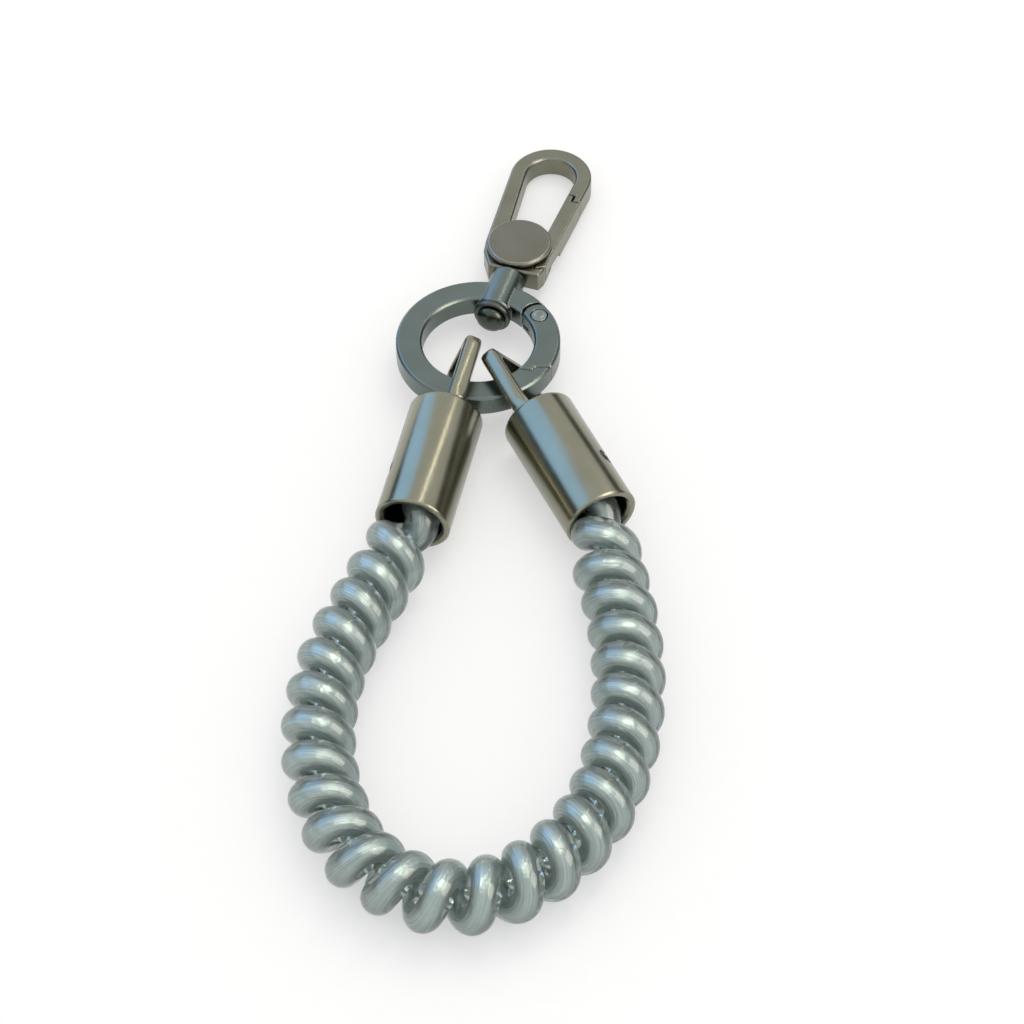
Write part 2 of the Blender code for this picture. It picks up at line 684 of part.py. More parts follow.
def seam_point(radius, reach):
    """The point at a radius of the ring that lies a reach away from the gate's pin."""
    mid = RING_MID_RADIUS
    share = (radius * radius + mid * mid - reach * reach) / (2 * radius * mid)
    return tuple(on_ring(RING_PIN_ANGLE - math.acos(share), radius))[:2]


def latch_line(overrun, gap):
    """Seam of the latch from outside in: arcs about the pin, with the lap's step between."""
    reach = (on_ring(RING_LATCH_ANGLE) - on_ring(RING_PIN_ANGLE)).length + gap
    step = RING_MID_RADIUS + gap / 2
    outer = np.linspace(RING_OUTER_RADIUS + overrun, step, 4)
    inner = np.linspace(step, RING_INNER_RADIUS - overrun, 4)
    return ([seam_point(radius, reach - RING_LAP) for radius in outer]
            + [seam_point(radius, reach) for radius in inner])


def ring_gate_outline():
    """Outline of the gate from its pin: outer side, round knuckle, inner side and latch."""
    pin = on_ring(RING_PIN_ANGLE)
    steps = 14
    latch = latch_line(0.0, 0.0)
    start = math.atan2(latch[0][1], latch[0][0])
    end = math.atan2(latch[-1][1], latch[-1][0])
    outline = arc_points((0.0, 0.0), RING_OUTER_RADIUS, start, RING_PIN_ANGLE, steps)
    outline += knuckle_points(RING_KNUCKLE_RADIUS, RING_INNER_RADIUS, RING_OUTER_RADIUS)
    outline += arc_points((0.0, 0.0), RING_INNER_RADIUS, RING_PIN_ANGLE, end, steps)
    outline += latch[-2:0:-1]
    return [(x - pin.x, y - pin.y) for x, y in outline]


def knuckle_points(radius, inner, outer):
    """A circle about the pin, past the pin and within a band of the ring, outside first."""
    pin = on_ring(RING_PIN_ANGLE)
    away = RING_PIN_ANGLE + math.pi / 2
    points = []
    for turn in np.linspace(-math.pi / 2, math.pi / 2, 25):
        x = pin.x + radius * math.cos(away + turn)
        y = pin.y + radius * math.sin(away + turn)
        if inner < math.hypot(x, y) < outer:
            points.append((x, y))
    return points


def tongue_outline():
    """Tongue of the body that the gate's fork straddles, from the pin."""
    pin = on_ring(RING_PIN_ANGLE)
    root_angle = RING_PIN_ANGLE + (RING_KNUCKLE_RADIUS + GAP + OVERRUN) / RING_MID_RADIUS
    radius = RING_TONGUE_END_RADIUS
    inner = RING_MID_RADIUS - radius
    outer = RING_MID_RADIUS + radius
    outline = arc_points((0.0, 0.0), outer, RING_PIN_ANGLE, root_angle, 5)
    outline += arc_points((0.0, 0.0), inner, root_angle, RING_PIN_ANGLE, 5)
    back = RING_PIN_ANGLE + math.pi
    outline += arc_points((pin.x, pin.y), radius, back, back + math.pi, 12)[1:-1]
    return [(x - pin.x, y - pin.y) for x, y in outline]


def fork_outline():
    """Slot of the gate that takes the tongue, from the pin."""
    pin = on_ring(RING_PIN_ANGLE)
    room = RING_TONGUE_END_RADIUS + GAP
    reach = 2 * RING_KNUCKLE_RADIUS
    along = Vector((-math.sin(RING_PIN_ANGLE), math.cos(RING_PIN_ANGLE), 0.0))
    across = pin.normalized()
    back = RING_PIN_ANGLE + math.pi
    outline = arc_points((0.0, 0.0), room, back, back + math.pi, 14)
    wide = RING_BAR_WIDTH
    for side, far in ((wide, 0.0), (wide, reach), (-wide, reach), (-wide, 0.0)):
        corner = side * across + far * along
        outline.append((corner.x, corner.y))
    return outline


# Snap hook on its swivel

def hook_half_width(height):
    """Half the outer width of the hook's legs at a height over the disc's centre."""
    share = height / HOOK_BEND_CENTRE
    return HOOK_WAIST + (HOOK_BEND_RADIUS - HOOK_WAIST) * share


def hook_outline():
    """Outline of the body: foot, left leg, bend and nose, without the gate's place."""
    bend = (0.0, HOOK_BEND_CENTRE)
    inner = HOOK_BEND_RADIUS - HOOK_BAR
    nose = HOOK_NOSE_END
    split = hook_half_width(nose) - HOOK_BAR / 2
    flank = HOOK_WAIST - GAP
    waist_share, base_share = HOOK_FLANK_SHARES
    outline = [(-HOOK_FOOT, -HOOK_BASE), (HOOK_LIP - HOOK_EDGE, -HOOK_BASE),
               (HOOK_LIP + GAP, -HOOK_BASE + HOOK_BAR / 2), (flank, -HOOK_BASE / 2), (flank, 0.0),
               (HOOK_WAIST - HOOK_BAR, HOOK_THROAT),
               (-HOOK_WAIST + HOOK_BAR + HOOK_EDGE, HOOK_THROAT + HOOK_EDGE)]
    outline += arc_points(bend, inner, math.pi, 0.0, BEND_STEPS)
    outline += [(hook_half_width(nose + HOOK_LAP) - HOOK_BAR, nose + HOOK_LAP),
                (split, nose + HOOK_LAP), (split, nose), (hook_half_width(nose), nose)]
    outline += arc_points(bend, HOOK_BEND_RADIUS, 0.0, math.pi, BEND_STEPS)
    outline += [(-HOOK_WAIST, 0.0), (-HOOK_WAIST * waist_share, -HOOK_BASE * base_share)]
    return outline


def hook_gate_outline():
    """Outline of the gate from its pin: tip, inner side, hub, heel and outer side."""
    px, py = HOOK_PIN_PLACE
    nose = HOOK_NOSE_END
    split = hook_half_width(nose) - HOOK_BAR / 2 - GAP
    inner_tip = hook_half_width(nose + HOOK_LAP) - HOOK_BAR
    outline = [(hook_half_width(nose - GAP), nose - GAP), (split, nose - GAP),
               (split, nose + HOOK_LAP - GAP), (inner_tip, nose + HOOK_LAP - GAP),
               (hook_half_width(HOOK_THROAT) - HOOK_BAR, HOOK_THROAT)]
    outline += arc_points((px, py), HOOK_HUB_RADIUS, HUB_START, HUB_END, 8)
    heel = arc_points((px, py), HOOK_HEEL_RADIUS, HEEL_START, HEEL_END, 4)
    outline += [(HOOK_HEEL_LEFT, outline[-1][1]), (HOOK_HEEL_LEFT, heel[0][1])] + heel
    outline += [(HOOK_WAIST - HOOK_EDGE, py), (hook_half_width(HOOK_STEP), HOOK_STEP)]
    return [(x - px, y - py) for x, y in outline]


def hook_pocket():
    """Space of the gate in the body, with room for its opening."""
    px, py = HOOK_PIN_PLACE
    room = HOOK_HUB_RADIUS + GAP
    heel = arc_points((px, py), HOOK_HEEL_RADIUS + GAP, POCKET_START, POCKET_HEEL_END, 12)
    hub = arc_points((px, py), room, POCKET_HUB_START, POCKET_END, 10)
    beyond = HOOK_WAIST + OVERRUN
    outline = [(beyond, HOOK_THROAT + OVERRUN), (beyond, heel[0][1])] + heel
    outline += [(HOOK_HEEL_LEFT - GAP, heel[-1][1]), (HOOK_HEEL_LEFT - GAP, hub[0][1])] + hub
    outline += [(hub[-1][0] - GAP, HOOK_THROAT + OVERRUN)]
    return outline


def build_hook(swing, centre, metal, light, steel, dark):
    """Hook body with its disc, gate, pin and spring, and the rivet and washer."""
    half = HOOK_DEPTH / 2
    turn = Matrix.Rotation(BOSS_ANGLE - math.pi / 2, 4, "Z")
    place = centre + HOOK_REACH * Vector((math.cos(BOSS_ANGLE), math.sin(BOSS_ANGLE), 0.0))
    swivel = add_empty("hook_swivel", Matrix.Translation(place) @ turn, swing)
    floor_top = -half + HOOK_FLOOR

    body = add_piece("hook_body", prism(hook_outline(), -half, half, HOOK_EDGE), metal, swivel)
    combine(body, prism(hook_pocket(), floor_top, half + OVERRUN), "DIFFERENCE", "pocket")
    px, py = HOOK_PIN_PLACE
    at_pin = Matrix.Translation((px, py, 0.0))
    combine(body, moved(rod(HOOK_PIN_RADIUS + GAP, -half - OVERRUN, half), at_pin),
            "DIFFERENCE", "pin_bore")
    stud_floor = half + GAP - DISC_STUD_LENGTH - GAP
    stud_hole = rod(DISC_STUD_RADIUS + GAP, stud_floor, half + OVERRUN)
    combine(body, moved(stud_hole, Matrix.Translation((*DISC_STUD_PLACE, 0.0))), "DIFFERENCE",
            "stud_hole")
    down = Matrix.Rotation(math.pi / 2, 4, "X")
    rivet_hole = rod(RIVET_RADIUS + GAP, HOOK_BASE - RIVET_GRIP - GAP, HOOK_BASE + OVERRUN)
    combine(body, moved(rivet_hole, down), "DIFFERENCE", "rivet_hole")

    disc = rod(DISC_RADIUS, half + GAP, half + GAP + DISC_THICKNESS, 48, DISC_EDGE)
    cap = add_piece("hook_disc", disc, light, swivel)
    stud = rod(DISC_STUD_RADIUS, half + GAP - DISC_STUD_LENGTH, half + GAP + WELD)
    combine(cap, moved(stud, Matrix.Translation((*DISC_STUD_PLACE, 0.0))), "UNION", "stud")

    lower = floor_top + GAP
    gate = add_piece("hook_gate", prism(hook_gate_outline(), -half, half, HOOK_EDGE), light,
                     swivel, (px, py, 0.0))
    wide = HOOK_BEND_RADIUS
    under = [(-wide, -wide), (wide, -wide), (wide, HOOK_STEP - py), (-wide, HOOK_STEP - py)]
    combine(gate, prism(under, -half - OVERRUN, lower), "DIFFERENCE", "step")
    combine(gate, rod(HOOK_PIN_RADIUS + GAP, -half, half + OVERRUN), "DIFFERENCE", "pin_bore")
    recess = rod(spring_room(HOOK_PIN_RADIUS), lower - OVERRUN, lower + SPRING_RECESS)
    combine(gate, recess, "DIFFERENCE", "spring_recess")

    add_piece("hook_gate_pin", rod(HOOK_PIN_RADIUS, -half, half, 20), steel, swivel,
              (px, py, 0.0))
    spring = spring_bmesh(HOOK_PIN_RADIUS, lower)
    add_piece("hook_gate_spring", spring, steel, swivel, (px, py, 0.0))

    inner_end = HOOK_REACH - BOSS_INNER_END
    washer_low = inner_end + GAP
    washer_high = washer_low + WASHER_THICKNESS
    cut = WASHER_CHAMFER
    hole = RIVET_RADIUS + GAP
    profile = [(hole, washer_low), (WASHER_RADIUS - cut, washer_low),
               (WASHER_RADIUS, washer_low + cut), (WASHER_RADIUS, washer_high - cut),
               (WASHER_RADIUS - cut, washer_high), (hole, washer_high)]
    add_piece("swivel_washer", moved(turned(profile, 36), down), dark, swivel)
    head_low = washer_high + GAP
    head_high = head_low + RIVET_HEAD_HEIGHT
    dome = [(RIVET_HEAD_RADIUS * math.cos(a), head_low + WELD
             + (RIVET_HEAD_HEIGHT - WELD) * math.sin(a)) for a in np.linspace(0.0, math.pi / 2, 6)]
    profile = [(0.0, HOOK_BASE - RIVET_GRIP), (RIVET_RADIUS, HOOK_BASE - RIVET_GRIP),
               (RIVET_RADIUS, head_low), (RIVET_HEAD_RADIUS, head_low)]
    profile += dome[:-1] + [(0.0, head_high)]
    add_piece("swivel_rivet", moved(turned_solid(profile, 28), down), steel, swivel)


def build():
    """Make the materials, the frames of the moving groups and every piece."""
    clear_scene()
    metal = make_material("gunmetal_zinc", GUNMETAL, 0.34, 1.0)
    light = make_material("gunmetal_satin", GUNMETAL_LIGHT, 0.4, 1.0)
    dark = make_material("blackened_steel", GUNMETAL_DARK, 0.45, 1.0)
    steel = make_material("spring_steel", SPRING_STEEL, 0.3, 1.0)
    silver = make_material("silver_cord", SILVER_CORD, 0.22, 0.0)
    root = add_empty("lanyard", Matrix.Identity(4))
    left = ferrule_frame(LEFT_ANGLE, LEFT_LEAN, LEFT_ROLL, LEFT_SLIDE)
    right = ferrule_frame(RIGHT_ANGLE, RIGHT_LEAN, RIGHT_ROLL, RIGHT_SLIDE)
    build_ferrule("left", left, LEFT_SCREW_TURN + LEFT_ROLL, root, metal, dark)
    build_ferrule("right", right, RIGHT_SCREW_TURN + RIGHT_ROLL, root, metal, dark)
    build_cord(left, right, root, silver)
    frame, middle = swing_frame()
    swing = add_empty("ring_swing", frame, root)
    centre = build_ring(swing, middle, metal, light, steel)
    build_hook(swing, centre, metal, light, steel, dark)


build()
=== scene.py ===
"""Looks of the coiled key lanyard: its curly cord, plated hardware, floor, lamps and camera.

Laid out as an add-on and run as a script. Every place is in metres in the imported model's frame.
"""

import json
import math
from collections import namedtuple

import bmesh
import bpy
import numpy as np
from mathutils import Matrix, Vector

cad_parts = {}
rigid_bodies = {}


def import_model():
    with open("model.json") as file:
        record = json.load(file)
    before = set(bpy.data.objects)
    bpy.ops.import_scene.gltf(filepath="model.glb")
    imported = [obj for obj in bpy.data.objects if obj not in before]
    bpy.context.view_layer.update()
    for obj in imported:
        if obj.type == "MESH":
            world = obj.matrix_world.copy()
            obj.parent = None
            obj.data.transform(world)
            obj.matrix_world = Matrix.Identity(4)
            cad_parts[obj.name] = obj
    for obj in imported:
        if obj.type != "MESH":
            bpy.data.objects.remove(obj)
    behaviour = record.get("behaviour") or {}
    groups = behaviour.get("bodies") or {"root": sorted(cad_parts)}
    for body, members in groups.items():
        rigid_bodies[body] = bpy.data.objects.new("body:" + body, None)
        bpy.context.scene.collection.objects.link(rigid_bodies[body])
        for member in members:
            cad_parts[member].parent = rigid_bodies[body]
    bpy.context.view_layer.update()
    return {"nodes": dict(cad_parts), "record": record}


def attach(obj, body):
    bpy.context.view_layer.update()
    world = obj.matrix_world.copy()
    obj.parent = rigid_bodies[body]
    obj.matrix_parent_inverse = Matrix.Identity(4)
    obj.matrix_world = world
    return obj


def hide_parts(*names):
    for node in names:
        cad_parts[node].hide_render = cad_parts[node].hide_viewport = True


bl_info = {
    "name": "Coiled Key Lanyard",
    "version": (1, 0, 0),
    "blender": (4, 5, 0),
    "location": "3D View > Sidebar > Lanyard",
    "description": "Dresses the packed lanyard and sets up its studio",
    "category": "Object",
}

for leftover in list(bpy.data.objects):
    bpy.data.objects.remove(leftover, do_unlink=True)
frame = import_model()

MM = 0.001

# Middles of the two ferrules' mouths, and how far their axes lean from +Y towards +X
FERRULES = {
    "left": {"mouth": (-0.0191086, -0.0521904, 0.0079), "lean": math.radians(13.4)},
    "right": {"mouth": (0.0198068, -0.0508240, 0.0079), "lean": math.radians(-26.4)},
}
BORE_ROOF = 25.3 * MM           # where the cord ends in the bore, counted from the mouth
SLEEVE_LENGTH = 16.0 * MM       # straight end of the cord, in its crimp sleeve
SLEEVE_MOUTH = BORE_ROOF - SLEEVE_LENGTH  # depth at which the curls start

# Curls of the cord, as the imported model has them
CURL_RADIUS = 4.25 * MM
CURL_PITCH = 7.5 * MM           # advance per curl where the route is straight
CURL_SPREAD = 0.5               # share of a bend's squeeze that the curls give way to
CURL_TIGHTEST_BEND = 4.8 * MM   # radius that the cord bends on while a curl opens
CURL_STEPS = 9                  # steps per curl in which the advance is worked out
CURL_START_TURN = math.radians(2.0)  # round the axis, at the end of the left ferrule's sleeve
CURL_LAST_STEP = 1.5            # steps that are left free before the right ferrule's sleeve
CORD_RAMP = 7.8 * MM            # past the mouth, where a curl has opened to its full radius
CURL_OPENING = SLEEVE_MOUTH + CORD_RAMP
AXIS_HEIGHT = 7.2 * MM          # of the coil's axis above the table
JACKET_INSET = 0.3 * MM         # the fatter clear jacket curls this much tighter
ROUTE_SAMPLES = 60              # between two points of the route
LOOP_ROUTE = [
    (-0.0229, -0.0600),
    (-0.0275, -0.0701),
    (-0.0328, -0.0817),
    (-0.0359, -0.0932),
    (-0.0365, -0.1061),
    (-0.0341, -0.1187),
    (-0.0273, -0.1313),
    (-0.0147, -0.1391),
    (-0.0021, -0.1385),
    (0.0088, -0.1318),
    (0.0170, -0.1218),
    (0.0222, -0.1084),
    (0.0243, -0.0943),
    (0.0242, -0.0819),
    (0.0226, -0.0703),
    (0.0205, -0.0602),
]

# Camera, fitted to the photograph
LOOK_AT = Vector((1.37 * MM, -47.64 * MM, 6.0 * MM))
SENSOR_WIDTH = 36.0             # in millimetres, as a Blender camera takes it
FOCAL_PIXELS = 3500.0
PHOTO_PIXELS = 1024.0
FLOOR_DROP = 0.3 * MM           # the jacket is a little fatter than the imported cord

# Pieces whose solids keep their shape and get smooth sides and a finish, by group
FERRULE_PIECES = {"ferrule_left": "ferrule", "ferrule_right": "ferrule"}
RING_PIECES = {"ring_body": "ring", "ring_gate": "ring"}
HOOK_PIECES = {"hook_body": "hook", "hook_disc": "disc", "hook_gate": "hook"}
STEEL_PIECES = {
    "ring_gate_pin": "pin",
    "hook_gate_pin": "pin",
    "ring_gate_spring": "spring",
    "hook_gate_spring": "spring",
    "swivel_rivet": "rivet",
    "swivel_washer": "washer",
    "set_screw_left": "black",
    "set_screw_right": "black",
    "crimp_sleeve_left": "black",
    "crimp_sleeve_right": "black",
}

# A finish: the name and colour of its material, how far its pale clouds and the painted highlight
# on its edges go towards white, and its roughness where it is smoothest and where it is dullest
Finish = namedtuple("Finish", "material colour clouds wear smooth dull")
FINISHES = {
    # buffed tube: long streaks of the room along it
    "ferrule": Finish("gunmetal_plating_polished", "#858473", clouds=0.03, wear=0.17,
                      smooth=0.2, dull=0.24),
    # tumbled flat bar: cooler and more even than the tubes
    "ring": Finish("gunmetal_plating_on_flat_bar", "#66706B", clouds=0.02, wear=0.15,
                   smooth=0.26, dull=0.3),
    # tumbled casting: warm and soft
    "hook": Finish("gunmetal_plating_on_hook", "#787869", clouds=0.034, wear=0.19,
                   smooth=0.26, dull=0.3),
    # brushed satin cap: an even sheen inside a bright rim, which is a painted highlight
    "disc": Finish("gunmetal_plating_satin", "#716F63", clouds=0.024, wear=0.62,
                   smooth=0.34, dull=0.38),
    # ground pin end: a paler round mark
    "pin": Finish("plated_steel_pin", "#7A817C", clouds=0.074, wear=0.22,
                  smooth=0.25, dull=0.32),
    # drawn wire: thin bright glints
    "spring": Finish("spring_wire", "#8C8E8C", clouds=0.12, wear=0.12,
                     smooth=0.2, dull=0.3),
    # turned head: dark, with one glint on its dome
    "rivet": Finish("plated_steel_rivet", "#4A5049", clouds=0.033, wear=0.145,
                    smooth=0.25, dull=0.34),
    # stamped washer: a dull step under the rivet
    "washer": Finish("plated_steel_washer", "#4E544C", clouds=0.038, wear=0.145,
                     smooth=0.3, dull=0.4),
    # oxide-blackened steel: reads as a hollow
    "black": Finish("blackened_steel", "#2E2E2B", clouds=0.018, wear=0.043,
                    smooth=0.35, dull=0.5),
}
WELD = 0.002 * MM               # corners of a solid nearer than this are one
SHARP_ANGLE = math.radians(35.0)  # two sides that meet at more than this keep a crisp edge

# What the surfaces show, from real sizes. What is too fine for this distance is drawn coarser.
NOISE_LOW, NOISE_HIGH = 0.3, 0.7  # where nearly all of a noise's values lie
STREAK_LENGTH = 8.0 * MM        # runs of filler in the drawn core
STREAK_WIDTH = 0.23 * MM        # real ones are near 0.05 mm, too fine to show
STREAK_DEPTH = 0.15 * MM
FLAKE_SIZE = 0.6 * MM           # real flakes are near 0.1 mm, too fine to show
FLAKE_DEPTH = 0.1 * MM
CORE_RELIEF = 0.8               # strength of both
CORE_ROUGHNESS = 0.3
JACKET_WAVE = 2.0 * MM          # waves that the extruder leaves
JACKET_WAVE_DEPTH = 0.1 * MM
JACKET_RELIEF = 0.1
JACKET_ROUGHNESS = 0.06
JACKET_CLEARNESS = 0.85         # share of light that passes, the rest is a milky haze
PVC_IOR = 1.53
CLOUD_SIZE = 7.0 * MM           # patches of the plating
SCRATCH_LENGTH = 6.0 * MM       # polishing lines
SCRATCH_WIDTH = 0.6 * MM        # real ones are near 0.02 mm, too fine to show
SCRATCH_DEPTH = 0.05 * MM
SCRATCH_RELIEF = 0.06
EDGE_ROUNDING_AND_HIGHLIGHT = 0.5 * MM            # band along an edge that tumbling rounds, and that a painted highlight brightens
EDGE_SAMPLES = 6
EDGE_HIGHLIGHT_START = 0.98              # cosine between the rounded and the flat side where the painted highlight starts
EDGE_HIGHLIGHT_FULL = 0.8                 # and where it is complete
PAPER_FIBRE = 2.0 * MM          # real ones are near 0.1 mm, too fine to show
PAPER_SHADE, PAPER_LIGHT = "#C2C2C2", "#C8C8C8"
PAPER_ROUGHNESS = 0.9
PAPER_GLOW = 0.45               # own light of the paper, which only seen rays meet


# Colours and node trees

def linear(code):
    """An sRGB hex colour as linear RGBA."""
    channels = [int(code[i:i + 2], 16) / 255 for i in (1, 3, 5)]
    return tuple(c / 12.92 if c <= 0.04045 else ((c + 0.055) / 1.055) ** 2.4
                 for c in channels) + (1.0,)


def towards_white(colour, share):
    """A linear RGBA colour moved a share of the way to white."""
    return tuple(c + share * (1 - c) for c in colour[:3]) + (1.0,)


def add_node(tree, kind, settings=None, **links):
    """Add a node, set its properties, and link or set its inputs, by name or as _number."""
    node = tree.nodes.new(kind)
    for name, value in (settings or {}).items():
        setattr(node, name, value)
    for name, value in links.items():
        socket = node.inputs[int(name[1:]) if name[0] == "_" else name.replace("_", " ")]
        if isinstance(value, bpy.types.NodeSocket):
            tree.links.new(value, socket)
        else:
            socket.default_value = value
    return node


def new_material(name):
    """An empty node material with its output, as (material, tree, output)."""
    material = bpy.data.materials.new(name)
    material.use_nodes = True
    tree = material.node_tree
    tree.nodes.clear()
    return material, tree, tree.nodes.new("ShaderNodeOutputMaterial")


def shade_by(tree, value, low, high, first, last):
    """A colour that turns from the first to the last while a value goes from low to high."""
    share = add_node(tree, "ShaderNodeMapRange", None, Value=value, From_Min=low, From_Max=high)
    # inputs 6 and 7 and output 2 are the node's colours
    mix = add_node(tree, "ShaderNodeMix", {"data_type": "RGBA"}, _0=share.outputs[0],
                   _6=first, _7=last)
    return mix.outputs[2]


# Materials

def silver_core(radius, shade, light):
    """Pearl silver filler that is drawn into the clear cord.

    The eye gets a soft metallic band that sparkles with flakes and runs in streaks along the cord.
    """
    material, tree, output = new_material("pearl_silver_core")
    # lay holds metres along the cord, and its place on a circle of radius 1 round it
    lay = add_node(tree, "ShaderNodeAttribute", {"attribute_name": "lay"}).outputs["Vector"]
    across = radius / STREAK_WIDTH
    in_streaks = add_node(tree, "ShaderNodeVectorMath", {"operation": "MULTIPLY"},
                          _0=lay, _1=(1 / STREAK_LENGTH, across, across)).outputs[0]
    fibre = add_node(tree, "ShaderNodeTexNoise", None, Vector=in_streaks, Scale=1.0,
                     Detail=3.0, Roughness=0.6).outputs[0]
    place = add_node(tree, "ShaderNodeTexCoord").outputs["Object"]
    flake = add_node(tree, "ShaderNodeTexNoise", None, Vector=place, Scale=1 / FLAKE_SIZE,
                     Detail=1.0).outputs[0]
    streaks = add_node(tree, "ShaderNodeBump", None, Strength=CORE_RELIEF,
                       Distance=STREAK_DEPTH, Height=fibre).outputs[0]
    relief = add_node(tree, "ShaderNodeBump", None, Strength=CORE_RELIEF,
                      Distance=FLAKE_DEPTH, Height=flake, Normal=streaks).outputs[0]
    tone = shade_by(tree, fibre, NOISE_LOW, NOISE_HIGH, shade, light)
    shader = add_node(tree, "ShaderNodeBsdfPrincipled", None, Base_Color=tone, Metallic=1.0,
                      Roughness=CORE_ROUGHNESS, Normal=relief)
    tree.links.new(shader.outputs[0], output.inputs[0])
    return material


def clear_jacket(tint):
    """Clear PVC, extruded and heat-set in curls.

    The eye gets a wet gloss, and the silver core looks as wide as the cord through it.
    """
    material, tree, output = new_material("clear_pvc_jacket")
    place = add_node(tree, "ShaderNodeTexCoord").outputs["Object"]
    wave = add_node(tree, "ShaderNodeTexNoise", None, Vector=place, Scale=1 / JACKET_WAVE,
                    Detail=1.0).outputs[0]
    relief = add_node(tree, "ShaderNodeBump", None, Strength=JACKET_RELIEF,
                      Distance=JACKET_WAVE_DEPTH, Height=wave).outputs[0]
    shader = add_node(tree, "ShaderNodeBsdfPrincipled", None, Base_Color=tint,
                      Roughness=JACKET_ROUGHNESS, IOR=PVC_IOR,
                      Transmission_Weight=JACKET_CLEARNESS, Normal=relief)
    tree.links.new(shader.outputs[0], output.inputs[0])
    return material


def gunmetal(finish, colour):
    """Gunmetal plating on polished die-cast zinc, or the like plating on small steel.

    The eye gets a dark metal, softly clouded and finely scratched, with a painted highlight along
    its edges.
    """
    material, tree, output = new_material(finish.material)
    place = add_node(tree, "ShaderNodeTexCoord").outputs["Object"]
    cloud = add_node(tree, "ShaderNodeTexNoise", None, Vector=place, Scale=1 / CLOUD_SIZE,
                     Detail=2.0).outputs[0]
    in_scratches = add_node(tree, "ShaderNodeMapping", None, Vector=place,
                            Scale=(1 / SCRATCH_WIDTH, 1 / SCRATCH_LENGTH, 1 / SCRATCH_WIDTH))
    scratch = add_node(tree, "ShaderNodeTexNoise", None, Vector=in_scratches.outputs[0],
                       Scale=1.0, Detail=2.0).outputs[0]
    rounded = add_node(tree, "ShaderNodeBevel", {"samples": EDGE_SAMPLES},
                       Radius=EDGE_ROUNDING_AND_HIGHLIGHT).outputs[0]
    flat = add_node(tree, "ShaderNodeNewGeometry").outputs["Normal"]
    agreement = add_node(tree, "ShaderNodeVectorMath", {"operation": "DOT_PRODUCT"},
                         _0=rounded, _1=flat).outputs["Value"]
    tone = shade_by(tree, cloud, NOISE_LOW, NOISE_HIGH, colour,
                    towards_white(colour, finish.clouds))
    # painted highlight: the edges turn paler where the rounded side leans away from the flat one
    tone = shade_by(tree, agreement, EDGE_HIGHLIGHT_START, EDGE_HIGHLIGHT_FULL, tone,
                    towards_white(colour, finish.wear))
    roughness = add_node(tree, "ShaderNodeMapRange", None, Value=cloud, From_Min=NOISE_LOW,
                         From_Max=NOISE_HIGH, To_Min=finish.smooth, To_Max=finish.dull)
    relief = add_node(tree, "ShaderNodeBump", None, Strength=SCRATCH_RELIEF,
                      Distance=SCRATCH_DEPTH, Height=scratch, Normal=rounded).outputs[0]
    shader = add_node(tree, "ShaderNodeBsdfPrincipled", None, Base_Color=tone, Metallic=1.0,
                      Roughness=roughness.outputs[0], Normal=relief)
    tree.links.new(shader.outputs[0], output.inputs[0])
    return material


# Cord

def smooth_route(points):
    """Samples of a smooth curve through the points, with no loop or kink between them."""
    ends = [2 * points[0] - points[1]] + points + [2 * points[-1] - points[-2]]
    samples = []
    for p0, p1, p2, p3 in zip(ends, ends[1:], ends[2:], ends[3:]):
        knots = [0.0]
        for a, b in ((p0, p1), (p1, p2), (p2, p3)):
            knots.append(knots[-1] + math.sqrt(np.linalg.norm(b - a)))
        t0, t1, t2, t3 = knots
        for t in np.linspace(t1, t2, ROUTE_SAMPLES, endpoint=False):
            a1 = (t1 - t) / (t1 - t0) * p0 + (t - t0) / (t1 - t0) * p1
            a2 = (t2 - t) / (t2 - t1) * p1 + (t - t1) / (t2 - t1) * p2
            a3 = (t3 - t) / (t3 - t2) * p2 + (t - t2) / (t3 - t2) * p3
            b1 = (t2 - t) / (t2 - t0) * a1 + (t - t0) / (t2 - t0) * a2
            b2 = (t3 - t) / (t3 - t1) * a2 + (t - t1) / (t3 - t1) * a3
            samples.append((t2 - t) / (t2 - t1) * b1 + (t - t1) / (t2 - t1) * b2)
    samples.append(points[-1])
    return np.array(samples)


def in_bore(side, depth):
    """A point on a ferrule's axis, at a depth from its mouth."""
    lean = FERRULES[side]["lean"]
    along = np.array((math.sin(lean), math.cos(lean), 0.0))
    return np.array(FERRULES[side]["mouth"]) + depth * along


def coil_axis():
    """The coil's axis from sleeve to sleeve: its points, travel, directions and bends."""
    depths = (SLEEVE_MOUTH, SLEEVE_MOUTH / 2, 0.0)
    run_in = [in_bore("left", depth) for depth in depths]
    run_out = [in_bore("right", depth) for depth in reversed(depths)]
    middle = [np.array((x, y, AXIS_HEIGHT)) for x, y in LOOP_ROUTE]
    axis = smooth_route(run_in + middle + run_out)
    steps = np.linalg.norm(np.diff(axis, axis=0), axis=1)
    travel = np.concatenate([[0.0], np.cumsum(steps)])
    tangents = np.gradient(axis, travel, axis=0)
    tangents /= np.linalg.norm(tangents, axis=1)[:, None]
    bends = np.linalg.norm(np.gradient(tangents, travel, axis=0), axis=1)
    # a bend is evened out over the distance between two points of the route
    half = ROUTE_SAMPLES // 2
    window = np.ones(ROUTE_SAMPLES) / ROUTE_SAMPLES
    bends = np.convolve(np.pad(bends, half, mode="edge"), window, "same")
    return axis, travel, tangents, bends[half:half + len(travel)]


def curl_radius(place, total):
    """Radius of the curl at a place on the axis: it opens out of each ferrule."""
    share = min(max(min(place, total - place) / CURL_OPENING, 0.0), 1.0)
    return CURL_RADIUS * share * share * (3 - 2 * share)


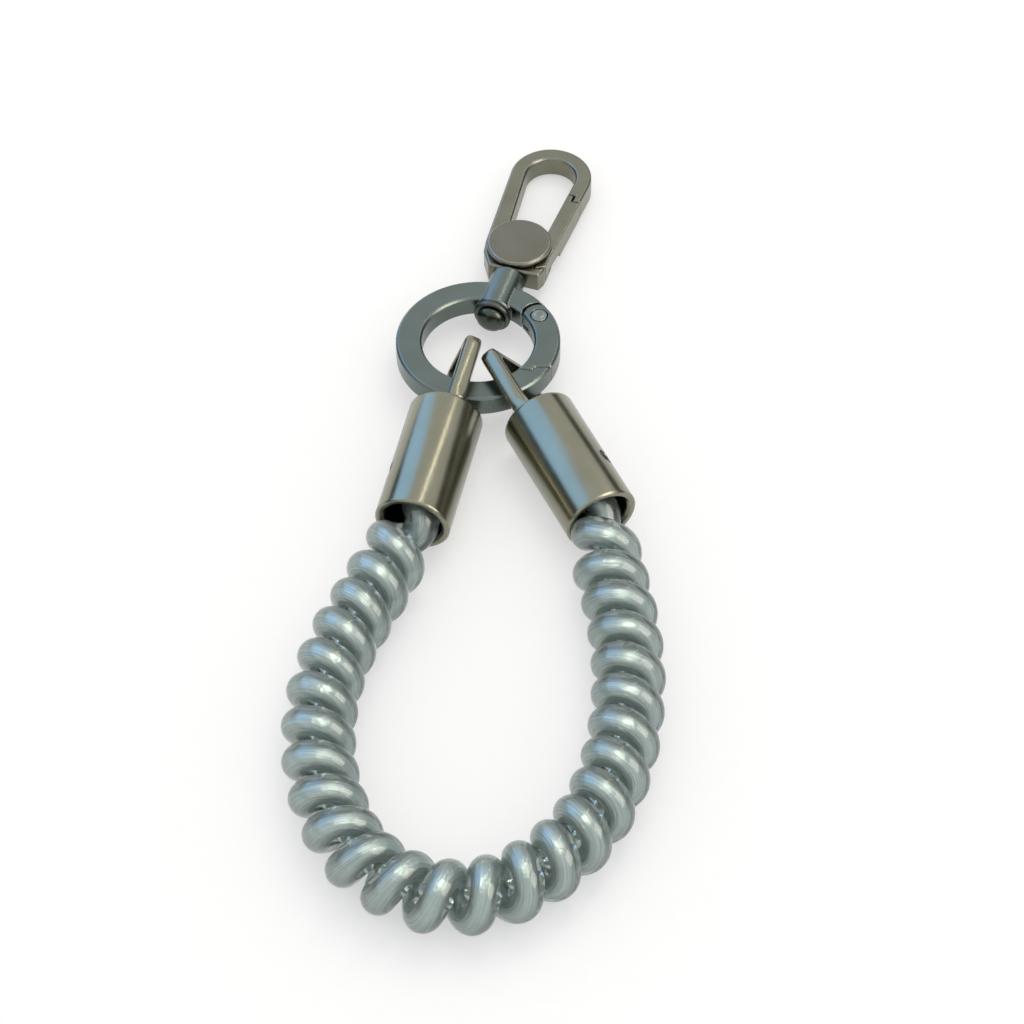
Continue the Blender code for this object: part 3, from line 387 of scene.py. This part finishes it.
def curl_pitch(radius, bend):
    """Advance per curl: the cord's own tightest bend while a curl opens, then side by side."""
    limit = CURL_TIGHTEST_BEND
    if radius < CURL_RADIUS:
        # a helix bends on radius + climb squared / radius, its climb being the advance a radian
        squared = limit * radius - radius * radius if radius > limit / 2 else limit * limit / 4
        return max(CURL_PITCH, 2 * math.pi * math.sqrt(squared))
    return CURL_PITCH / (1 - CURL_SPREAD * CURL_RADIUS * bend)


def curl_steps(travel, bends):
    """Places along the axis at even steps of a curl, and the turn round it at each."""
    places = [0.0]
    turns = [CURL_START_TURN]
    while True:
        radius = curl_radius(places[-1], travel[-1])
        advance = curl_pitch(radius, np.interp(places[-1], travel, bends)) / CURL_STEPS
        if places[-1] + CURL_LAST_STEP * advance > travel[-1]:
            return places, turns
        places.append(places[-1] + advance)
        turns.append(turns[-1] + 2 * math.pi / CURL_STEPS)


def cord_path(points_per_curl):
    """Centreline of the cord between the bottoms of the two bores."""
    axis, travel, tangents, bends = coil_axis()
    places, turns = curl_steps(travel, bends)
    count = round(len(places) / CURL_STEPS * points_per_curl)
    path = [in_bore("left", BORE_ROOF)]
    for index in np.linspace(0, len(places) - 1, count):
        place = np.interp(index, range(len(places)), places)
        turn = np.interp(index, range(len(turns)), turns)
        centre = np.array([np.interp(place, travel, axis[:, k]) for k in range(3)])
        ahead = np.array([np.interp(place, travel, tangents[:, k]) for k in range(3)])
        right = np.cross(ahead, (0.0, 0.0, 1.0))
        right /= np.linalg.norm(right)
        upward = np.cross(right, ahead)
        radius = curl_radius(place, travel[-1]) * (1 - JACKET_INSET / CURL_RADIUS)
        path.append(centre + radius * (math.cos(turn) * right + math.sin(turn) * upward))
    path += [axis[-1], in_bore("right", BORE_ROOF)]
    return [tuple(float(v) for v in point) for point in path]


def path_object(name, path):
    """A chain of edges along a path, for a sweep to follow."""
    mesh = bpy.data.meshes.new(name)
    mesh.from_pydata(path, [(i, i + 1) for i in range(len(path) - 1)], [])
    chain = bpy.data.objects.new(name, mesh)
    bpy.context.scene.collection.objects.link(chain)
    return chain


def sweep_tree():
    """Geometry nodes that sweep a round tube along a chain and store where each point lies."""
    tree = bpy.data.node_groups.new("round_sweep", "GeometryNodeTree")
    for name, kind in (("Geometry", "Geometry"), ("Diameter", "Float"), ("Sides", "Int"),
                       ("Material", "Material")):
        tree.interface.new_socket(name, in_out="INPUT", socket_type=f"NodeSocket{kind}")
    tree.interface.new_socket("Geometry", in_out="OUTPUT", socket_type="NodeSocketGeometry")
    given = tree.nodes.new("NodeGroupInput").outputs
    line = add_node(tree, "GeometryNodeMeshToCurve", None, Mesh=given["Geometry"])
    along = add_node(tree, "GeometryNodeSplineParameter").outputs["Length"]
    line_kept = tree.nodes.new("GeometryNodeCaptureAttribute")
    line_kept.capture_items.new("FLOAT", "Length")
    tree.links.new(line.outputs[0], line_kept.inputs[0])
    tree.links.new(along, line_kept.inputs[1])
    radius = add_node(tree, "ShaderNodeMath", {"operation": "MULTIPLY"}, _0=given["Diameter"],
                      _1=0.5)
    circle = add_node(tree, "GeometryNodeCurvePrimitiveCircle", None,
                      Resolution=given["Sides"], Radius=radius.outputs[0])
    around = add_node(tree, "GeometryNodeSplineParameter").outputs["Factor"]
    circle_kept = tree.nodes.new("GeometryNodeCaptureAttribute")
    circle_kept.capture_items.new("FLOAT", "Factor")
    tree.links.new(circle.outputs[0], circle_kept.inputs[0])
    tree.links.new(around, circle_kept.inputs[1])
    swept = add_node(tree, "GeometryNodeCurveToMesh", None, Curve=line_kept.outputs[0],
                     Profile_Curve=circle_kept.outputs[0], Fill_Caps=True)
    turn = add_node(tree, "ShaderNodeMath", {"operation": "MULTIPLY"},
                    _0=circle_kept.outputs[1], _1=2 * math.pi)
    cosine = add_node(tree, "ShaderNodeMath", {"operation": "COSINE"}, _0=turn.outputs[0])
    sine = add_node(tree, "ShaderNodeMath", {"operation": "SINE"}, _0=turn.outputs[0])
    lay = add_node(tree, "ShaderNodeCombineXYZ", None, X=line_kept.outputs[1],
                   Y=cosine.outputs[0], Z=sine.outputs[0])
    stored = add_node(tree, "GeometryNodeStoreNamedAttribute",
                      {"data_type": "FLOAT_VECTOR", "domain": "POINT"},
                      Geometry=swept.outputs[0], Name="lay", Value=lay.outputs[0])
    real = add_node(tree, "GeometryNodeRealizeInstances", None, Geometry=stored.outputs[0])
    finished = add_node(tree, "GeometryNodeSetMaterial", None, Geometry=real.outputs[0],
                        Material=given["Material"])
    result = tree.nodes.new("NodeGroupOutput")
    tree.links.new(finished.outputs[0], result.inputs[0])
    return tree


def swept_mesh(host, tree, values):
    """Run a tree on an object, keep the result as its plain mesh and drop the modifier."""
    modifier = host.modifiers.new("sweep", "NODES")
    modifier.node_group = tree
    for item in tree.interface.items_tree:
        if item.in_out == "INPUT" and item.name in values:
            modifier[item.identifier] = values[item.name]
    evaluated = host.evaluated_get(bpy.context.evaluated_depsgraph_get())
    mesh = bpy.data.meshes.new_from_object(evaluated)
    host.modifiers.clear()
    host.data = mesh
    mesh.shade_smooth()


# Hardware

def body_of(node):
    """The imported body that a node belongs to."""
    for body, nodes in frame["record"]["behaviour"]["bodies"].items():
        if node in nodes:
            return body
    raise KeyError(node)


def smooth_copy(node, material):
    """A welded, smooth-sided copy of a node's solid in its finish, riding where the node rides."""
    solid = frame["nodes"][node]
    bm = bmesh.new()
    bm.from_mesh(solid.data)
    bmesh.ops.remove_doubles(bm, verts=bm.verts, dist=WELD)
    for edge in bm.edges:
        edge.smooth = edge.calc_face_angle(math.pi) < SHARP_ANGLE
    for face in bm.faces:
        face.smooth = True
    mesh = bpy.data.meshes.new(f"{node}_dressed")
    bm.to_mesh(mesh)
    bm.free()
    carried = mesh.attributes.get("custom_normal")
    if carried is not None:     # the solid's own normals would hide the smooth sides
        mesh.attributes.remove(carried)
    mesh.materials.clear()
    mesh.materials.append(material)
    piece = bpy.data.objects.new(f"{node}_dressed", mesh)
    bpy.context.scene.collection.objects.link(piece)
    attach(piece, body_of(node))
    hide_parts(node)


def dress(pieces, colours):
    """Give each piece of a group its finish, in a colour of the settings where they hold one."""
    made = {}
    for node, short in pieces.items():
        if short not in made:
            finish = FINISHES[short]
            colour = getattr(colours, short, linear(finish.colour))
            made[short] = gunmetal(finish, tuple(colour))
        smooth_copy(node, made[short])


# Stage

def lamp(name, direction, distance, size, power, colour):
    """A rectangular soft box that faces the object from a direction."""
    data = bpy.data.lights.new(name, "AREA")
    data.shape = "RECTANGLE"
    data.size, data.size_y = size
    data.energy = power
    data.color = linear(colour)[:3]
    box = bpy.data.objects.new(name, data)
    bpy.context.scene.collection.objects.link(box)
    away = Vector(direction).normalized()
    box.location = LOOK_AT + distance * away
    box.rotation_euler = (-away).to_track_quat("-Z", "Y").to_euler()
    return box


def card(name, direction, distance, size, colour, strength, off_metal=True, through_clear=False):
    """A lit card that only shows off metal and gloss, through the clear jacket, or in both."""
    width, height = size
    away = Vector(direction).normalized()
    turn = (-away).to_track_quat("-Z", "Y")
    corners = [LOOK_AT + distance * away + turn @ Vector((x * width / 2, y * height / 2, 0.0))
               for x, y in ((-1, -1), (1, -1), (1, 1), (-1, 1))]
    mesh = bpy.data.meshes.new(name)
    mesh.from_pydata(corners, [], [(0, 1, 2, 3)])
    sheet = bpy.data.objects.new(name, mesh)
    bpy.context.scene.collection.objects.link(sheet)
    material, tree, output = new_material(name)
    glow = add_node(tree, "ShaderNodeEmission", None, Color=linear(colour), Strength=strength)
    tree.links.new(glow.outputs[0], output.inputs[0])
    mesh.materials.append(material)
    sheet.visible_camera = False
    sheet.visible_diffuse = False
    sheet.visible_shadow = False
    sheet.visible_glossy = off_metal
    sheet.visible_transmission = through_clear


def seen_ray(tree):
    """1 for rays from the camera, off gloss or through clear stuff, 0 for the rest."""
    path = add_node(tree, "ShaderNodeLightPath").outputs
    seen = path["Is Camera Ray"]
    for kind in ("Is Glossy Ray", "Is Transmission Ray"):
        seen = add_node(tree, "ShaderNodeMath", {"operation": "MAXIMUM"}, _0=seen,
                        _1=path[kind]).outputs[0]
    return seen


def floor_material():
    """Matt white paper that also glows a little to the eye, so that its shadow stays light."""
    material, tree, output = new_material("white_paper")
    place = add_node(tree, "ShaderNodeTexCoord").outputs["Object"]
    fibre = add_node(tree, "ShaderNodeTexNoise", None, Vector=place, Scale=1 / PAPER_FIBRE,
                     Detail=2.0).outputs[0]
    tone = add_node(tree, "ShaderNodeMix", {"data_type": "RGBA"}, _0=fibre,
                    _6=linear(PAPER_SHADE), _7=linear(PAPER_LIGHT)).outputs[2]
    glow = add_node(tree, "ShaderNodeMath", {"operation": "MULTIPLY"}, _0=seen_ray(tree),
                    _1=PAPER_GLOW).outputs[0]
    shader = add_node(tree, "ShaderNodeBsdfPrincipled", None, Base_Color=tone,
                      Roughness=PAPER_ROUGHNESS, Specular_IOR_Level=0.0,
                      Emission_Color=linear("#FFFFFF"), Emission_Strength=glow)
    tree.links.new(shader.outputs[0], output.inputs[0])
    return material


def make_world(fill):
    """White to the eye and in reflections, and a softer fill light for everything else."""
    world = bpy.data.worlds.new("studio")
    bpy.context.scene.world = world
    world.use_nodes = True
    tree = world.node_tree
    tree.nodes.clear()
    strength = add_node(tree, "ShaderNodeMapRange", None, Value=seen_ray(tree), To_Min=fill,
                        To_Max=1.0)
    sky = add_node(tree, "ShaderNodeBackground", None, Color=linear("#FFFFFF"),
                   Strength=strength.outputs[0])
    output = tree.nodes.new("ShaderNodeOutputWorld")
    tree.links.new(sky.outputs[0], output.inputs[0])


# Settings

def colour_setting(name, description, code):
    """A colour property whose default is an sRGB hex colour."""
    return bpy.props.FloatVectorProperty(name=name, description=description, size=4,
                                         default=linear(code), min=0.0, max=1.0, subtype="COLOR")


class CordSettings(bpy.types.PropertyGroup):
    """Sizes and colours of the curly cord."""

    diameter: bpy.props.FloatProperty(
        name="Cord diameter", description="Outside of the clear jacket", default=7.1 * MM,
        unit="LENGTH", precision=4)
    core: bpy.props.FloatProperty(
        name="Core diameter", description="Silver core inside the clear jacket",
        default=3.2 * MM, unit="LENGTH", precision=4)
    sides: bpy.props.IntProperty(
        name="Sides", description="Sides of the round cord", default=28, min=8)
    points_per_curl: bpy.props.IntProperty(
        name="Points a curl", description="Points of the path in one curl", default=36, min=12)
    jacket_tint: colour_setting("Jacket tint", "Tint of the clear jacket", "#BCC8C4")
    core_shade: colour_setting("Core shade", "Darker streaks of the silver core", "#B4BEBE")
    core_light: colour_setting("Core light", "Paler streaks of the silver core", "#F4F8F6")


class PlatingSettings(bpy.types.PropertyGroup):
    """Colours of the plated hardware."""

    ferrule: colour_setting("Ferrules", "Polished plating of both ferrules",
                            FINISHES["ferrule"].colour)
    ring: colour_setting("Ring", "Plating of the flat ring and its gate",
                         FINISHES["ring"].colour)
    hook: colour_setting("Hook", "Plating of the snap hook and its gate",
                         FINISHES["hook"].colour)
    disc: colour_setting("Disc", "Satin plating of the hook's disc",
                         FINISHES["disc"].colour)
    black: colour_setting("Screws", "Blackened steel of the set screws and sleeves",
                          FINISHES["black"].colour)


class StageSettings(bpy.types.PropertyGroup):
    """Camera and light."""

    elevation: bpy.props.FloatProperty(
        name="Camera elevation", description="Angle above the table",
        default=math.radians(53.5), subtype="ANGLE")
    distance: bpy.props.FloatProperty(
        name="Camera distance", description="From the middle of the lanyard",
        default=0.7206, unit="LENGTH")
    fill: bpy.props.FloatProperty(
        name="Fill light", description="Strength of the even light from all round",
        default=0.88, min=0.0)
    floor_size: bpy.props.FloatProperty(
        name="Floor size", description="Side of the square floor", default=6.0, unit="LENGTH")


class LANYARD_OT_cord(bpy.types.Operator):
    """Sweep the curly cord along its curls."""

    bl_idname = "lanyard.cord"
    bl_label = "Curly cord"

    def execute(self, context):
        sizes = context.scene.lanyard_cord
        path = cord_path(sizes.points_per_curl)
        tree = sweep_tree()
        jacket = path_object("cord_jacket", path)
        swept_mesh(jacket, tree, {"Diameter": sizes.diameter, "Sides": sizes.sides,
                                  "Material": clear_jacket(tuple(sizes.jacket_tint))})
        core = path_object("cord_core", path)
        silver = silver_core(sizes.core / 2, tuple(sizes.core_shade), tuple(sizes.core_light))
        swept_mesh(core, tree, {"Diameter": sizes.core, "Sides": sizes.sides,
                                "Material": silver})
        for layer in (jacket, core):
            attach(layer, "strap")
        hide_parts("coil_cord")
        return {"FINISHED"}


class LANYARD_OT_ferrules(bpy.types.Operator):
    """Dress the two ferrules."""

    bl_idname = "lanyard.ferrules"
    bl_label = "Ferrules"

    def execute(self, context):
        dress(FERRULE_PIECES, context.scene.lanyard_plating)
        return {"FINISHED"}


class LANYARD_OT_ring(bpy.types.Operator):
    """Dress the flat ring and its gate."""

    bl_idname = "lanyard.ring"
    bl_label = "Ring"

    def execute(self, context):
        dress(RING_PIECES, context.scene.lanyard_plating)
        return {"FINISHED"}


class LANYARD_OT_hook(bpy.types.Operator):
    """Dress the snap hook, its disc and its gate."""

    bl_idname = "lanyard.hook"
    bl_label = "Hook"

    def execute(self, context):
        dress(HOOK_PIECES, context.scene.lanyard_plating)
        return {"FINISHED"}


class LANYARD_OT_steel(bpy.types.Operator):
    """Dress the pins, springs, rivet, washer, screws and sleeves."""

    bl_idname = "lanyard.steel"
    bl_label = "Small steel parts"

    def execute(self, context):
        dress(STEEL_PIECES, context.scene.lanyard_plating)
        return {"FINISHED"}


class LANYARD_OT_stage(bpy.types.Operator):
    """Lay the floor and set the lamps and the camera."""

    bl_idname = "lanyard.stage"
    bl_label = "Stage"

    def execute(self, context):
        settings = context.scene.lanyard_stage
        bpy.ops.mesh.primitive_plane_add(size=settings.floor_size,
                                         location=(0.0, 0.0, -FLOOR_DROP))
        floor = context.active_object
        floor.name = "paper_floor"
        floor.data.materials.append(floor_material())
        make_world(settings.fill)
        # even light from above, out of the metal's sight
        top = lamp("top_box", direction=(0.1, 0.45, 1.0), distance=0.9, size=(0.5, 0.5),
                   power=1.1, colour="#FFFCF6")
        top.visible_glossy = False
        # short bright glints on the silver core
        card("spark_card", direction=(0.16, 0.12, 1.0), distance=0.8, size=(0.24, 0.4),
             colour="#FFF6E4", strength=18.0, off_metal=False, through_clear=True)
        # a thin warm line along each ferrule
        lamp("strip_box", direction=(0.33, 0.52, 0.79), distance=0.8, size=(0.02, 0.5),
             power=0.4, colour="#FFF6E4")
        # the blue band of a window on the ferrules and the left of each curl
        card("window_card", direction=(-0.71, 0.54, 0.46), distance=0.8, size=(0.88, 0.74),
             colour="#A8D0FF", strength=2.4, through_clear=True)
        # a lit wall that fills the right of the ferrules
        card("front_card", direction=(0.73, -0.32, 0.61), distance=0.8, size=(0.5, 0.5),
             colour="#FFF6E6", strength=6.0)
        # dark flags that draw the long edges
        for name, direction in (("left_flag", (-1.0, 0.1, 0.12)),
                                ("right_flag", (1.0, 0.4, 0.16))):
            card(name, direction, distance=0.6, size=(1.6, 0.3), colour="#FFFFF0", strength=0.1)

        data = bpy.data.cameras.new("photo_camera")
        data.sensor_width = SENSOR_WIDTH
        data.lens = FOCAL_PIXELS / PHOTO_PIXELS * SENSOR_WIDTH
        camera = bpy.data.objects.new("photo_camera", data)
        context.scene.collection.objects.link(camera)
        back = Vector((0.0, -math.cos(settings.elevation), math.sin(settings.elevation)))
        camera.location = LOOK_AT + settings.distance * back
        camera.rotation_euler = (-back).to_track_quat("-Z", "Y").to_euler()
        context.scene.camera = camera
        context.scene.view_settings.view_transform = "Standard"
        return {"FINISHED"}


class LANYARD_PT_panel(bpy.types.Panel):
    """Steps that dress the lanyard."""

    bl_label = "Coiled key lanyard"
    bl_space_type = "VIEW_3D"
    bl_region_type = "UI"
    bl_category = "Lanyard"

    def draw(self, context):
        for holder in SETTINGS:
            settings = getattr(context.scene, holder)
            for name in settings.__annotations__:
                self.layout.prop(settings, name)
        for step in STEPS:
            self.layout.operator(step.bl_idname)


SETTINGS = {"lanyard_cord": CordSettings, "lanyard_plating": PlatingSettings,
            "lanyard_stage": StageSettings}
STEPS = (LANYARD_OT_cord, LANYARD_OT_ferrules, LANYARD_OT_ring, LANYARD_OT_hook,
         LANYARD_OT_steel, LANYARD_OT_stage)
CLASSES = (*SETTINGS.values(), *STEPS, LANYARD_PT_panel)


def register():
    """Register the classes and their settings."""
    for item in CLASSES:
        bpy.utils.register_class(item)
    for holder, kind in SETTINGS.items():
        setattr(bpy.types.Scene, holder, bpy.props.PointerProperty(type=kind))


def unregister():
    """Undo what register did."""
    for holder in SETTINGS:
        delattr(bpy.types.Scene, holder)
    for item in reversed(CLASSES):
        bpy.utils.unregister_class(item)


def main():
    """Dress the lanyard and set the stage."""
    register()
    bpy.ops.lanyard.cord()
    bpy.ops.lanyard.ferrules()
    bpy.ops.lanyard.ring()
    bpy.ops.lanyard.hook()
    bpy.ops.lanyard.steel()
    bpy.ops.lanyard.stage()


if __name__ == "__main__":
    main()
